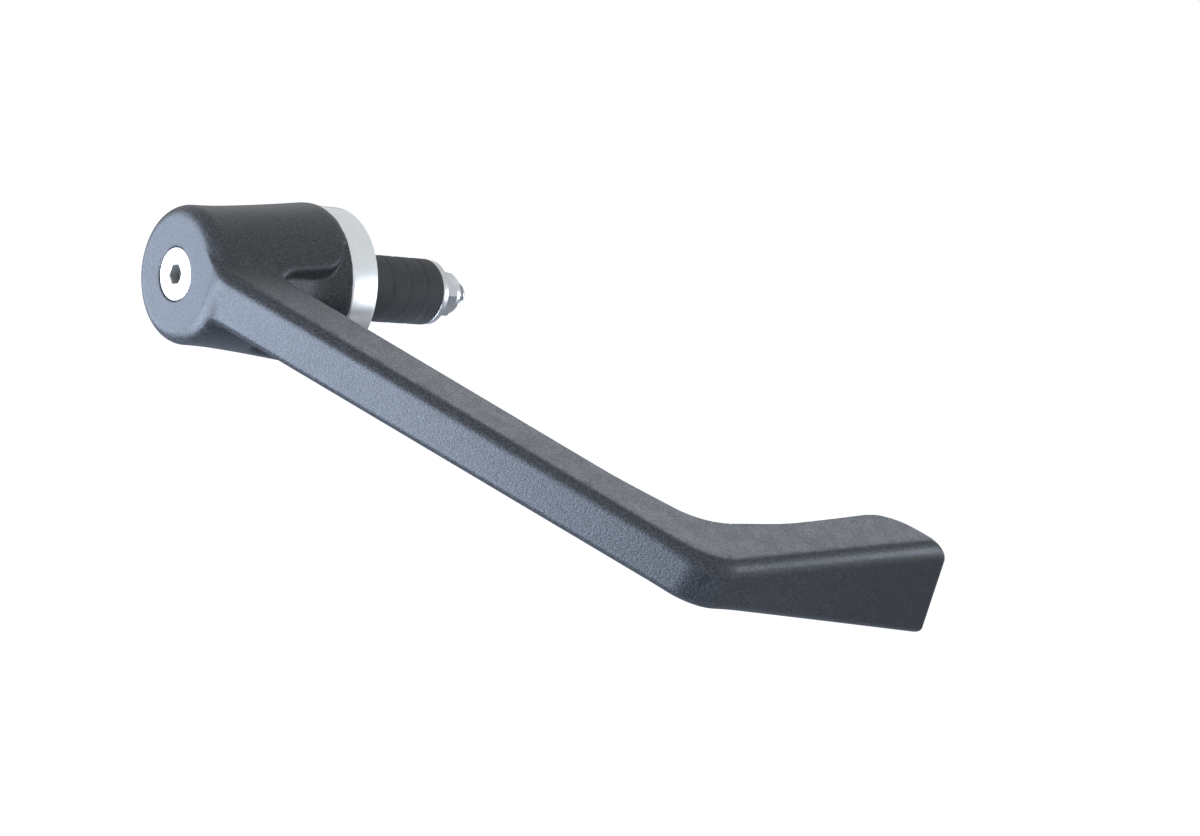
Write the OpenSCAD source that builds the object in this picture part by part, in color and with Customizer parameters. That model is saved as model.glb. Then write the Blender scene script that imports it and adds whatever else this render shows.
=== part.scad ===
// Lever guard for the end of a handlebar, with its collar, screw and bar-end fixing.
// Millimetres. X runs along the bar, inboard; -Y is forward; Z is up.
// The origin is on the bar's axis, on the collar's inboard face.

/* [Boss] */
// Length of the round boss along the bar
boss_length = 34.7; // [32:0.1:38]
// Diameter of the boss at its outer end
boss_end_diameter = 30; // [28:0.1:31]
// Largest diameter of the boss, near the collar
boss_flare_diameter = 36; // [35.4:0.1:37]
// Rounding of the edge round the outer end face
boss_edge_radius = 3.4; // [2:0.1:4]
// Diameter of the core left bare in front, under the hood
core_diameter = 30; // [28:0.1:31]
// Diameter to which the core flares out at the collar
rim_diameter = 35.2; // [34:0.1:35.2]
// Length over which the core flares out
scoop_length = 9.5; // [7:0.5:14]
// Distance of the hood's front wall from the bar's axis
hood_reach = 11.7; // [10:0.1:13]
// Rounding, seen from above, where the hood's front wall meets the arm
hood_root_radius = 2.3; // [1:0.1:3]
// Rounding of the hood's corner, seen from above
hood_corner_radius = 5; // [4:0.1:6]
// Width of the thin rim that meets the collar
rim_width = 1.3; // [1.2:0.1:2.5]

/* [Arm] */
// Angle between the arm and the bar, seen from above
arm_angle = 50.9; // [48:0.1:54]
// Distance from the bar's axis to where the arm leaves the end face
arm_start = 12.8; // [12:0.1:13.4]
// Thickness of the arm, seen from above
arm_thickness = 12; // [10:0.1:13]
// Height of the arm
arm_height = 12.5; // [11:0.1:14]
// Height of the arm's middle above the bar's axis
arm_rise = 4.4; // [3:0.1:5.5]
// Rounding of the arm's two outer edges
outer_edge_radius = 2.8; // [1.5:0.1:3.5]
// Rounding of the arm's two inner edges
inner_edge_radius = 0.8; // [0.5:0.1:1.5]
// Extra height where the arm runs into the boss
root_flare = 0.3; // [0:0.1:2]

/* [Bend] */
// Distance from the bar's axis to the corner of the outer faces
reach = 107.6; // [98:0.1:112]
// Radius of the bend along the middle of the arm
bend_radius = 25; // [20:0.5:30]
// Extra thickness on the inside of the bend
bend_web = 2.2; // [1:0.1:4]
// Radius of the corner between the two outer faces, seen from above
outer_bend_radius = 15; // [12:0.5:24]

/* [Tip] */
// Length of the guard along the bar, boss end to tip end
guard_length = 161; // [154:0.1:168]
// Angle by which the tip leans forward of the bar's direction
tip_toe = 1.5; // [0:0.1:3]
// Thickness of the tip at its end
tip_thickness = 12.4; // [9:0.1:13]
// Rise of the tip's upper edge at the end
tip_rise = 6.1; // [4:0.1:8]
// Length over which the rise and the drop set in, either side of the bend's middle
rise_ease = 9; // [4:1:15]
// Drop of the tip's lower edge at the end
tip_drop = 9.9; // [6:0.1:12]
// How much shorter the tip is on its inner face
tip_bevel = 13.5; // [8:0.1:15]
// How much shorter the tip is along its upper edge
tip_rake = 12.3; // [6:0.1:15]
// Rounding round the tip's end face
tip_end_radius = 1.5; // [1:0.1:2]

/* [Collar] */
// Diameter of the collar's flange
collar_diameter = 35.2; // [34:0.1:35.6]
// Width of the collar's flange
collar_width = 7.2; // [6:0.1:9]
// Chamfer on the flange's two edges
collar_chamfer = 0.4; // [0.2:0.1:0.6]
// Diameter of the spigot inside the boss
boss_spigot_diameter = 21.8; // [20:0.1:22.5]
// Length of the spigot inside the boss
boss_spigot_length = 24; // [18:0.1:25]
// Diameter of the spigot inside the bar
bar_spigot_diameter = 15.8; // [15.4:0.1:17]
// Length of the spigot inside the bar
bar_spigot_length = 6; // [4:0.1:8]

/* [Screw] */
// Thread diameter
screw_diameter = 6; // [6:0.1:6.2]
// How far the screw stands out of the nut
screw_overrun = 3.4; // [2:0.1:6]
// Diameter of the countersunk head
head_diameter = 11.6; // [11.4:0.1:12]
// Depth of the head below the boss's end face
head_recess = 0.1; // [0.1:0.1:0.8]
// Width of the hexagon socket across its flats
socket_width = 4; // [3.9:0.1:4.1]
// Depth of the hexagon socket
socket_depth = 2.6; // [2.3:0.1:3]
// How far the socket is turned, as the screw was left when tight
socket_turn = 10; // [0:1:60]
// Diameter of the clearance bore round the screw
clearance_diameter = 6.6; // [6.5:0.1:7]

/* [Expander] */
// Diameter of the rubber
rubber_diameter = 15.4; // [15:0.1:16.4]
// Length of the rubber
rubber_length = 20; // [18:0.5:21]
// Diameter of the two washers
washer_diameter = 15; // [13:0.1:15.4]
// Thickness of each washer
washer_thickness = 1.5; // [1.2:0.1:1.8]
// Width of the nut across its flats
nut_width = 10; // [9.8:0.1:10.2]
// Height of the nut with its lock ring
nut_height = 6; // [5.5:0.1:6.5]

/* [Hidden] */
$fn = 72;

slack = 0.1;
x_end = -collar_width - boss_length;
r_end = boss_end_diameter / 2;
r_flare = boss_flare_diameter / 2;
head_x = x_end + head_recess;
head_r = head_diameter / 2;
shank_r = screw_diameter / 2 - slack / 2;
head_land = 0.5;
cone_depth = head_r - shank_r;
front_washer_x = bar_spigot_length;
rubber_x = front_washer_x + washer_thickness;
rear_washer_x = rubber_x + rubber_length;
nut_x = rear_washer_x + washer_thickness;
screw_end = nut_x + nut_height + screw_overrun;
ring_height = 1.4;
ring_r = 4.3;

// arm: rounded sections carried along a path, seen from above

function lerp(a, b, t) = a + (b - a) * t;
function clamp(t) = max(0, min(1, t));
function smooth(t) = let (c = clamp(t)) c * c * (3 - 2 * c);
function soft_min(a, b, k) = let (h = max(k - abs(a - b), 0) / k) min(a, b) - h * h * k / 4;
function hump(s, half) = abs(s) < half ? pow(cos(90 * s / half), 2) : 0;
function heading(a) = [cos(a), sin(a)];
function left_of(a) = [-sin(a), cos(a)];

tip_heading = -tip_toe;
turn = arm_angle + tip_heading;
half_w = arm_thickness / 2;
corner = [x_end + (reach - arm_start) / tan(arm_angle), -reach];
path_start = [x_end, -arm_start] + half_w * left_of(-arm_angle);
path_corner = corner + half_w * left_of(-arm_angle) - half_w * tan(turn / 2) * heading(-arm_angle);
corner_s = norm(path_corner - path_start);
tangent = bend_radius * tan(turn / 2);
bend_s = corner_s - tangent;
bend_arc = bend_radius * turn * PI / 180;
tip_s = bend_s + bend_arc;
bend_mid = bend_s + bend_arc / 2;
bend_centre = path_corner - tangent * heading(-arm_angle) + bend_radius * left_of(-arm_angle);
tip_origin = path_corner + tangent * heading(tip_heading);
tip_run = (x_end + guard_length - tip_origin[0]) / cos(tip_toe);
end_s = tip_s + tip_run;

function bend_angle(s) = -arm_angle + clamp((s - bend_s) / bend_arc) * turn;
function on_path(s) =
    s < bend_s ? path_start + s * heading(-arm_angle)
    : s < tip_s ? bend_centre - bend_radius * left_of(bend_angle(s))
    : tip_origin + (s - tip_s) * heading(tip_heading);

// How far along the tip a station lies, 0 at the bend and 1 at the end, with a soft start
function eased(d) = abs(d) < rise_ease ? pow(d + rise_ease, 2) / (4 * rise_ease) : max(d, 0);
function tip_part(s) = clamp(eased(s - bend_mid) / (end_s - bend_mid));
function thick(s) = lerp(arm_thickness, tip_thickness, tip_part(s));
// The outer faces meet in an arc of their own, tighter than the bend of the middle line
half_turn = turn / 2;
round_centre = (bend_radius + half_w - outer_bend_radius) / cos(half_turn);
round_angle = atan2(outer_bend_radius * sin(half_turn), round_centre + outer_bend_radius * cos(half_turn));
function corner_reach(s) = let (a = abs(s - bend_mid) / bend_radius * 180 / PI)
    a > half_turn ? half_w
    : a > round_angle ? (bend_radius + half_w) / cos(half_turn - a) - bend_radius
    : round_centre * cos(a) + sqrt(pow(outer_bend_radius, 2) - pow(round_centre * sin(a), 2)) - bend_radius;
function outward(s) = s > bend_s ? corner_reach(s)
    : soft_min(half_w, (on_path(s)[0] - x_end - 0.15) / sin(arm_angle), 2.4);
function inward(s) = thick(s) - half_w + bend_web * hump(s - bend_mid, 30);
function top(s) = arm_rise + arm_height / 2 + tip_rise * tip_part(s) * (1.45 - 0.45 * tip_part(s))
    + root_flare * (1 - smooth((s - 2) / 14));
function bottom(s) = arm_rise - arm_height / 2 - tip_drop * tip_part(s)
    - root_flare * (1 - smooth((s - 2) / 14)) / 2;

// One section: [across, height] with the outer face at 0, all sides drawn in by inset. The flats have
// points of their own, closer together towards the inner face, so that the end cut can curve there
function arc_points(c, r, from, steps) =
    [for (i = [0:steps]) c + r * [cos(from + i * 90 / steps), sin(from + i * 90 / steps)]];
function flat_points(inner, outer, height) =
    [for (i = [1:6]) [lerp(inner, outer, pow(i / 7, 1.5)), height]];
function reversed(list) = [for (i = [len(list) - 1:-1:0]) list[i]];
function section(w, z0, z1, inset) =
    let (ro = max(min(outer_edge_radius, w / 2.2) - inset, 0.2), ri = max(inner_edge_radius - inset, 0.2),
         a = inset, b = w - inset, lo = z0 + inset, hi = z1 - inset)
    concat(arc_points([b - ri, hi - ri], ri, 0, 2), flat_points(b - ri, a + ro, hi),
           arc_points([a + ro, hi - ro], ro, 90, 4), arc_points([a + ro, lo + ro], ro, 180, 4),
           reversed(flat_points(b - ri, a + ro, lo)), arc_points([b - ri, lo + ri], ri, 270, 2));

// Share of the bevel across the tip: even at first, then faster, which rounds the corner at the inner face
function cut_back(u) = 0.8 * u + 0.42 * pow(max(u, 0), 7);

// A section placed on the path; towards the tip it leans over to the slanted end cut
function station(s, inset) =
    let (a = bend_angle(s), p = on_path(s), o = outward(s), w = o + inward(s), hi = top(s), lo = bottom(s),
         k = pow(clamp((s - tip_s) / (end_s - tip_s)), 2))
    [for (q = section(w, lo, hi, inset))
        let (back = k * (tip_bevel * cut_back(q[0] / w) + tip_rake * (q[1] - lo) / (hi - lo)),
             xy = p + (q[0] - o) * left_of(a) - back * heading(a))
        [xy[0], xy[1], q[1]]];

arm_stations = concat(
    [for (s = [-4:1.5:8]) [s, 0]],
    [for (s = [14, (14 + bend_mid - 32) / 2]) [s, 0]],
    [for (i = [-31:3.4:-14]) [bend_mid + i, 0]],
    [for (i = [-8:8]) [bend_mid + 1.35 * i, 0]],
    [for (i = [14:3.4:31]) [bend_mid + i, 0]],
    [for (i = [1:4]) [lerp(bend_mid + 31, end_s - tip_end_radius, i / 4), 0]],
    [for (t = [30, 60, 90]) [end_s - tip_end_radius * (1 - sin(t)), tip_end_radius * (1 - cos(t))]]);

module arm() {
    rings = [for (st = arm_stations) station(st[0], st[1])];
    n = len(rings[0]);
    m = len(rings);
    points = [for (r = rings) each r];
    sides = [for (j = [0:m - 2], i = [0:n - 1]) let (a = j * n + i, b = j * n + (i + 1) % n)
        each [[a, b + n, b], [a, a + n, b + n]]];
    polyhedron(points, concat(sides, [[for (i = [0:n - 1]) i]], [[for (i = [n - 1:-1:0]) (m - 1) * n + i]]));
}

// turned shapes: a profile of [x, radius] points spun round the bar's axis

module turned(profile) {
    rotate([0, 90, 0]) rotate_extrude() polygon([for (p = profile) [p[1], p[0]]]);
}

module bore(diameter, x0, x1) {
    translate([x0, 0, 0]) rotate([0, 90, 0]) cylinder(d = diameter, h = x1 - x0);
}

module boss() {
    e = boss_edge_radius;
    edge = [for (t = [0:15:90]) [x_end + e * (1 - sin(t)), r_end - e * (1 - cos(t))]];
    flare = [for (t = [0.125:0.125:1])
        [x_end + lerp(e, boss_length - 2, t), lerp(r_end, r_flare, pow(t, 1.3))]];
    turned(concat([[x_end, 0]], [for (i = [6:-1:0]) edge[i]], flare,
        [[-collar_width - 0.6, r_flare - 0.2], [-collar_width, r_flare - 0.8], [-collar_width, 0]]));
}

// The hollow in front of the hood, seen from above: it ends at the hood and at the arm's inner side
module hollow_plan() {
    r = hood_corner_radius;
    x1 = -collar_width - rim_width;
    inner = path_start + half_w * left_of(-arm_angle);
    far = 60 * heading(-arm_angle);
    intersection() {
        translate([x_end, -40]) square([-x_end, 40 - hood_reach + r]);
        offset(r = hood_root_radius) offset(delta = -hood_root_radius) difference() {
            polygon([inner - far, inner + far, [20, inner[1] + far[1]], [20, inner[1] - far[1]]]);
            translate([x1 - r, -hood_reach + r]) circle(r = r);
            translate([x_end - 40, -hood_reach]) square([x1 - r - x_end + 40, 80]);
            translate([x_end - 40, -hood_reach + r]) square([x1 - x_end + 40, 80]);
        }
    }
}

// The core left in the hollow, flared out to the collar
module core() {
    x0 = -collar_width - scoop_length;
    grow = (rim_diameter - core_diameter) / 2;
    turned(concat([[x_end, 0], [x_end, core_diameter / 2]],
        [for (t = [0:0.125:1]) [x0 + t * scoop_length, core_diameter / 2 + grow * t * t]],
        [[-collar_width, 0]]));
}

module front_hollow() {
    difference() {
        translate([0, 0, -25]) linear_extrude(50) hollow_plan();
        core();
    }
}

module guard_moulding() color("dimgray") {
    difference() {
        union() {
            difference() {
                boss();
                front_hollow();
            }
            arm();
        }
        bore(clearance_diameter, x_end - 1, 0);
        turned([[x_end - 1, 0], [x_end - 1, head_r + slack], [head_x + head_land, head_r + slack],
                [head_x + head_land + cone_depth, shank_r + slack], [head_x + head_land + cone_depth, 0]]);
        bore(boss_spigot_diameter + 2 * slack, -collar_width - boss_spigot_length - slack, 1);
    }
}

module countersunk_screw() color("silver") {
    difference() {
        turned([[head_x, 0], [head_x, head_r - 0.15], [head_x + 0.15, head_r], [head_x + head_land, head_r],
                [head_x + head_land + cone_depth, shank_r], [screw_end - 0.8, shank_r],
                [screw_end, shank_r - 0.8], [screw_end, 0]]);
        translate([head_x - 1, 0, 0]) rotate([-socket_turn, 0, 0]) rotate([0, 90, 0])
            cylinder(d = socket_width / cos(30), h = socket_depth + 1, $fn = 6);
    }
}

module mounting_collar() color("gainsboro") {
    r = collar_diameter / 2;
    c = collar_chamfer;
    b = clearance_diameter / 2;
    s = boss_spigot_diameter / 2;
    x0 = -collar_width - boss_spigot_length;
    turned([[x0, b], [x0, s - c], [x0 + c, s], [-collar_width, s], [-collar_width, r - c],
            [-collar_width + c, r], [-c, r], [0, r - c], [0, bar_spigot_diameter / 2],
            [bar_spigot_length - c, bar_spigot_diameter / 2],
            [bar_spigot_length, bar_spigot_diameter / 2 - c], [bar_spigot_length, b]]);
}

module washer(x) {
    difference() {
        bore(washer_diameter, x, x + washer_thickness);
        bore(clearance_diameter, x - 1, x + washer_thickness + 1);
    }
}

module front_washer() color("silver") washer(front_washer_x);

module rubber_expander() color("black") {
    difference() {
        bore(rubber_diameter, rubber_x, rubber_x + rubber_length);
        bore(clearance_diameter, rubber_x - 1, rubber_x + rubber_length + 1);
    }
}

module rear_washer() color("silver") washer(rear_washer_x);

module lock_nut() color("silver") {
    difference() {
        translate([nut_x, 0, 0]) rotate([0, 90, 0])
            cylinder(d = nut_width / cos(30), h = nut_height - ring_height, $fn = 6);
        bore(screw_diameter, nut_x - 1, nut_x + nut_height);
    }
    difference() {
        bore(nut_width - 0.4, nut_x + nut_height - ring_height, nut_x + nut_height);
        bore(2 * ring_r, nut_x + nut_height - ring_height - 1, nut_x + nut_height + 1);
    }
}

module nut_lock_ring() color("royalblue") {
    x = nut_x + nut_height - ring_height;
    difference() {
        bore(2 * ring_r - slack, x, x + ring_height);
        bore(screw_diameter, x - 1, x + ring_height + 1);
    }
}

guard_moulding();
countersunk_screw();
mounting_collar();
front_washer();
rubber_expander();
rear_washer();
lock_nut();
nut_lock_ring();
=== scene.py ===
"""Looks of a lever guard: the moulded guard, its collar and screw, and the expander that holds it in a bar.

Lengths inside the classes are in millimetres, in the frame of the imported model: X runs inboard along the
bar, -Y is forward and Z is up. Meshes are written in metres.
"""

import logging
import math
from dataclasses import dataclass, field
from enum import Enum
from typing import Any, Callable, Mapping, Optional, Sequence, Union

import bpy
import numpy as np
from mathutils import Matrix, Vector


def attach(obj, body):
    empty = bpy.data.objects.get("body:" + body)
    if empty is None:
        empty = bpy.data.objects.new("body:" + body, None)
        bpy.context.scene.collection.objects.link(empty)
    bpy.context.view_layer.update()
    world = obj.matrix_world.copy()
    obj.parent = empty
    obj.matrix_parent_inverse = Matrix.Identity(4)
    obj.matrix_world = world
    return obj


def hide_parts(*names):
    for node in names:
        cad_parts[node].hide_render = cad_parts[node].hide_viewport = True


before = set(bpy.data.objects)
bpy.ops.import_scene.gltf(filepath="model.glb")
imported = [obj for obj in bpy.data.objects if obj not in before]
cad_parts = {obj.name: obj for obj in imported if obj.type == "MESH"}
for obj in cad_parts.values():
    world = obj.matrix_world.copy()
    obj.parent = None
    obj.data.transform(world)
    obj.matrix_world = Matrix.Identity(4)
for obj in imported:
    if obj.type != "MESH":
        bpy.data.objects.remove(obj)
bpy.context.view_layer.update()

LOG = logging.getLogger("lever_guard")
MM = 0.001
Array = np.ndarray
Colour = tuple[float, float, float]


# --------------------------------------------------------------------------- numbers


def smooth_step(t: Array) -> Array:
    """Returns 0 below 0, 1 above 1 and the cubic t*t*(3-2t) between."""
    c = np.clip(t, 0.0, 1.0)
    return c * c * (3.0 - 2.0 * c)


def smooth_min(a: Array, b: Array, reach: Array) -> Array:
    """Joins two distances with a hollow fillet: the lesser, less a parabola where they differ by under reach."""
    h = np.maximum(reach - np.abs(a - b), 0.0) / reach
    return np.minimum(a, b) - h * h * reach / 4.0


def round_max(a: Array, b: Array, radius: Array) -> Array:
    """Meets two distances in an outer edge rounded like a quarter circle of the given radius."""
    inner = np.minimum(np.maximum(a, b), -radius)
    return inner + np.hypot(np.maximum(a + radius, 0.0), np.maximum(b + radius, 0.0))


def hump(s: Array, half: float) -> Array:
    """Returns a squared cosine that is 1 at 0 and 0 beyond half on either side."""
    return np.where(np.abs(s) < half, np.cos(np.pi / 2.0 * np.clip(s / half, -1.0, 1.0)) ** 2, 0.0)


# --------------------------------------------------------------------------- meshes


class MeshWriter:
    """Puts arrays of points and faces into Blender meshes, in metres, at the origin."""

    @staticmethod
    def write(name: str, points: Array, faces: Sequence[Array], smooth: bool = True) -> bpy.types.Object:
        """Makes one object from points in millimetres and blocks of faces.

        Args:
            name: Name of the object and its mesh.
            points: Points, shape (n, 3), in millimetres.
            faces: Index blocks, each of shape (m, 3) or (m, 4).
            smooth: Whether the faces are shaded smooth.

        Returns:
            The new object, linked to the scene.
        """
        blocks = [np.asarray(f, np.int32) for f in faces if len(f)]
        totals = np.concatenate([np.full(len(f), f.shape[1], np.int32) for f in blocks])
        starts = np.concatenate([[0], np.cumsum(totals)[:-1]]).astype(np.int32)
        loops = np.concatenate([f.ravel() for f in blocks])
        mesh = bpy.data.meshes.new(name)
        mesh.vertices.add(len(points))
        mesh.vertices.foreach_set("co", (points * MM).astype(np.float32).ravel())
        mesh.loops.add(len(loops))
        mesh.loops.foreach_set("vertex_index", loops)
        mesh.polygons.add(len(totals))
        mesh.polygons.foreach_set("loop_start", starts)
        mesh.polygons.foreach_set("loop_total", totals)
        mesh.polygons.foreach_set("use_smooth", np.full(len(totals), smooth))
        mesh.update(calc_edges=True)
        mesh.validate()
        made = bpy.data.objects.new(name, mesh)
        bpy.context.scene.collection.objects.link(made)
        return made


@dataclass(frozen=True)
class SpunSkin:
    """A skin carried round the bar's axis: row k, column j lies at x[k, j] and radius r[k, j]."""

    columns: int = 144

    def angles(self) -> Array:
        """Returns the columns' angles from +Y towards +Z."""
        return np.arange(self.columns) * 2.0 * np.pi / self.columns

    def build(self, name: str, x: Array, r: Array, looped: bool, crease: float = 0.6) -> bpy.types.Object:
        """Makes a closed object from rows of stations and radii.

        Args:
            name: Name of the object.
            x: Stations along the axis, shape (rows,) or (rows, columns).
            r: Radii, shape (rows,) or (rows, columns).
            looped: True where the last row joins the first, as on a washer. Otherwise both ends close in a pole.
            crease: Angle in radians past which an edge is shaded sharp.

        Returns:
            The object, facing outwards.
        """
        n = self.columns
        xs = np.broadcast_to(np.asarray(x, float).reshape(len(x), -1), (len(x), n))
        rs = np.broadcast_to(np.asarray(r, float).reshape(len(r), -1), (len(r), n))
        a = self.angles()[None, :]
        points = np.stack([xs, rs * np.cos(a), rs * np.sin(a)], -1).reshape(-1, 3)
        rows = len(x)
        k = np.arange(rows if looped else rows - 1)[:, None]
        j = np.arange(n)[None, :]
        upper = ((k + 1) % rows) * n
        quads = np.stack([k * n + j, k * n + (j + 1) % n, upper + (j + 1) % n, upper + j], -1).reshape(-1, 4)
        faces = [quads]
        if not looped:
            first, last = len(points), len(points) + 1
            points = np.vstack([points, [[xs[0].mean(), 0, 0], [xs[-1].mean(), 0, 0]]])
            ring = np.arange(n)
            nxt = (ring + 1) % n
            faces.append(np.stack([nxt, ring, np.full(n, first)], -1))
            base = (rows - 1) * n
            faces.append(np.stack([base + ring, base + nxt, np.full(n, last)], -1))
        made = MeshWriter.write(name, points, faces)
        face_outwards(made)
        sharpen(made, crease)
        return made


def face_outwards(piece: bpy.types.Object) -> None:
    """Turns every face of a closed mesh outwards, by the sign of the volume it encloses."""
    mesh = piece.data
    mesh.calc_loop_triangles()
    tri = np.empty(len(mesh.loop_triangles) * 3, np.int32)
    mesh.loop_triangles.foreach_get("vertices", tri)
    co = np.empty(len(mesh.vertices) * 3, np.float32)
    mesh.vertices.foreach_get("co", co)
    t = co.reshape(-1, 3)[tri.reshape(-1, 3)].astype(float)
    if np.einsum("ij,ij->i", t[:, 0], np.cross(t[:, 1], t[:, 2])).sum() < 0.0:
        mesh.flip_normals()


def sharpen(piece: bpy.types.Object, crease: float) -> None:
    """Marks edges sharper than crease, in radians, so that their shading breaks there."""
    piece.data.set_sharp_from_angle(angle=crease)


def rounded_profile(corners: Sequence[tuple[float, float, float]], steps: int = 4) -> tuple[Array, Array]:
    """Rounds the corners of a closed outline in the plane of station and radius.

    Each corner is replaced by a curve between the points one rounding away along its two sides, where a
    point is the weighted mean (1-t)^2 a + 2t(1-t) c + t^2 b.

    Args:
        corners: Station, radius and rounding of each corner, in order.
        steps: Points per rounded corner, less one.

    Returns:
        Stations and radii of the rounded outline.
    """
    c = np.asarray(corners, float)
    here, size = c[:, :2], c[:, 2:]
    before, after = np.roll(here, 1, 0) - here, np.roll(here, -1, 0) - here
    la, lb = np.linalg.norm(before, axis=1, keepdims=True), np.linalg.norm(after, axis=1, keepdims=True)
    a = here + before / la * np.minimum(size, la * 0.49)
    b = here + after / lb * np.minimum(size, lb * 0.49)
    t = np.linspace(0.0, 1.0, steps + 1)[None, :, None]
    curve = (1 - t) ** 2 * a[:, None] + 2 * t * (1 - t) * here[:, None] + t**2 * b[:, None]
    keep = curve.reshape(-1, 2)
    apart = np.linalg.norm(keep - np.roll(keep, 1, 0), axis=1) > 1e-4
    return keep[apart, 0], keep[apart, 1]


@dataclass(frozen=True)
class LevelSkin:
    """The surface where a distance is zero, found on a grid of cubes.

    Every cube that the surface crosses gets one point, the mean of the crossings on its twelve edges, and
    every grid edge that it crosses gets one face between the four cubes round it.
    """

    low: tuple[float, float, float]
    high: tuple[float, float, float]
    step: float
    block: int = 4

    def build(self, name: str, distance: Callable[[Array], Array]) -> bpy.types.Object:
        """Makes the object whose skin is the zero level of a distance.

        Args:
            name: Name of the object.
            distance: Takes points of shape (n, 3) and returns their signed distances, negative inside.

        Returns:
            The object, facing outwards.
        """
        values = self._values(distance)
        points, cube_of = self._points(values)
        points = self._settle(points, distance)
        made = MeshWriter.write(name, points, [self._faces(values, cube_of)])
        face_outwards(made)
        return made

    def _values(self, distance: Callable[[Array], Array]) -> Array:
        """Returns the distance on the grid, worked out finely only in blocks that the surface may cross."""
        b, low = self.block, np.array(self.low)
        blocks = np.ceil((np.array(self.high) - low) / (self.step * b)).astype(int)
        axes = [low[i] + self.step * b * (np.arange(blocks[i]) + 0.5) for i in range(3)]
        middles = np.stack(np.meshgrid(*axes, indexing="ij"), -1).reshape(-1, 3)
        coarse = distance(middles)
        grid = np.repeat(np.repeat(np.repeat(coarse.reshape(blocks), b, 0), b, 1), b, 2)
        full = np.empty(np.array(grid.shape) + 1, np.float32)
        full[:-1, :-1, :-1] = grid
        full[-1], full[:, -1], full[:, :, -1] = 9.0, 9.0, 9.0
        near = np.abs(coarse) < self.step * b * 1.5
        index = np.argwhere(near.reshape(blocks)) * b
        local = np.stack(np.meshgrid(*[np.arange(b + 1)] * 3, indexing="ij"), -1).reshape(-1, 3)
        for part in np.array_split(index, max(1, len(index) // 4000)):
            at = (part[:, None] + local[None]).reshape(-1, 3)
            full[at[:, 0], at[:, 1], at[:, 2]] = distance(low + at * self.step)
        return full

    def _points(self, values: Array) -> tuple[Array, Array]:
        """Returns one point per crossed cube, and the grid of cube numbers, -1 where none."""
        inside = values < 0.0
        corners = [(i, j, k) for i in (0, 1) for j in (0, 1) for k in (0, 1)]
        cut = [slice(None, -1), slice(1, None)]
        count = sum(inside[cut[i], cut[j], cut[k]].astype(np.int8) for i, j, k in corners)
        cells = np.argwhere((count > 0) & (count < 8))
        cube_of = np.full(count.shape, -1, np.int32)
        cube_of[cells[:, 0], cells[:, 1], cells[:, 2]] = np.arange(len(cells))
        at = {c: values[cells[:, 0] + c[0], cells[:, 1] + c[1], cells[:, 2] + c[2]] for c in corners}
        total, hits = np.zeros((len(cells), 3)), np.zeros((len(cells), 1))
        for p in corners:
            for axis in range(3):
                if p[axis]:
                    continue
                q = tuple(1 if i == axis else p[i] for i in range(3))
                crossed = (at[p] < 0.0) != (at[q] < 0.0)
                t = np.where(crossed, at[p] / np.where(crossed, at[p] - at[q], 1.0), 0.0)
                place = np.tile(np.array(p, float), (len(cells), 1))
                place[:, axis] = t
                total += place * crossed[:, None]
                hits += crossed[:, None]
        return np.array(self.low) + (cells + total / hits) * self.step, cube_of

    def _settle(self, points: Array, distance: Callable[[Array], Array]) -> Array:
        """Moves the points onto the surface along the distance's slope, at most a third of a cube a time."""
        e = self.step * 0.1
        for _ in range(3):
            d = distance(points)
            slope = [(distance(points + o) - distance(points - o)) / (2 * e) for o in np.eye(3) * e]
            slope = np.stack(slope, -1)
            move = d[:, None] * slope / np.maximum((slope**2).sum(1, keepdims=True), 0.25)
            size = np.linalg.norm(move, axis=1, keepdims=True)
            points = points - move * np.minimum(1.0, self.step / 3.0 / np.maximum(size, 1e-9))
        return points

    @staticmethod
    def _faces(values: Array, cube_of: Array) -> Array:
        """Returns a four-sided face for each grid edge that the surface crosses, all turned alike."""
        inside = values < 0.0
        found = []
        for axis in range(3):
            u, v = (axis + 1) % 3, (axis + 2) % 3
            lo = [slice(None)] * 3
            hi = [slice(None)] * 3
            lo[axis], hi[axis] = slice(None, -1), slice(1, None)
            a, b = inside[tuple(lo)], inside[tuple(hi)]
            edges = np.argwhere(a != b)
            edges = edges[(edges[:, u] > 0) & (edges[:, v] > 0)]
            edges = edges[(edges[:, u] < cube_of.shape[u]) & (edges[:, v] < cube_of.shape[v])]
            ring = []
            for du, dv in ((0, 0), (1, 0), (1, 1), (0, 1)):
                cell = edges.copy()
                cell[:, u] -= du
                cell[:, v] -= dv
                ring.append(cube_of[cell[:, 0], cell[:, 1], cell[:, 2]])
            quads = np.stack(ring, -1)
            turned = a[edges[:, 0], edges[:, 1], edges[:, 2]]
            quads[~turned] = quads[~turned][:, ::-1]
            found.append(quads)
        return np.concatenate(found)


# --------------------------------------------------------------------------- the moulded guard


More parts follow.
